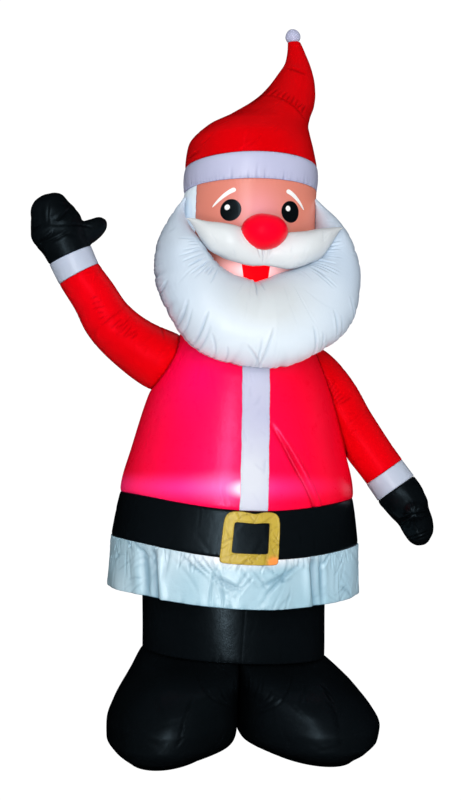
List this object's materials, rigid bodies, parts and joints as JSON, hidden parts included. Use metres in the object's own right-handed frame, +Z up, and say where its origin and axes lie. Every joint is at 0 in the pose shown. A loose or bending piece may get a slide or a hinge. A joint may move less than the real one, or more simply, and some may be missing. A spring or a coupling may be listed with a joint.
{
  "type": "inflatable santa",
  "caption": "Standing inflatable figure of Santa that waves one mittened hand, sewn from coloured polyester panels, with a full beard, belted coat and a leaning hat.",
  "frame": {"origin": "on the ground, under the middle of the figure's bounding box", "axes": "+Z up, -Y the way the legs and boots face, +X towards the figure's own left hand"},
  "size_m": [1.2026, 0.7734, 2.1335],
  "materials": {
    "red": "satin woven polyester, red",
    "white": "satin woven polyester, white",
    "black": "satin woven polyester, black",
    "skin": "satin woven polyester, skin pink",
    "nose_red": "satin woven polyester, bright red",
    "gold": "satin woven polyester, gold"
  },
  "bodies": {
    "root": {"right_boot": "black", "left_boot": "black", "legs": "black", "skirt_trim": "white", "belt": "black", "buckle": "gold", "coat": "red", "placket": "white", "right_sleeve": "red", "right_cuff": "white", "right_mitten": "black", "left_sleeve": "red", "left_cuff": "white", "left_mitten": "black", "head": "white", "face": "skin", "mouth": "nose_red", "beard": "white", "moustache": "white", "nose": "nose_red", "right_eye": "black", "left_eye": "black", "right_eye_glint": "white", "left_eye_glint": "white", "right_brow": "white", "left_brow": "white", "hat_band": "white", "hat": "red", "pompom": "white"}
  },
  "joints": []
}
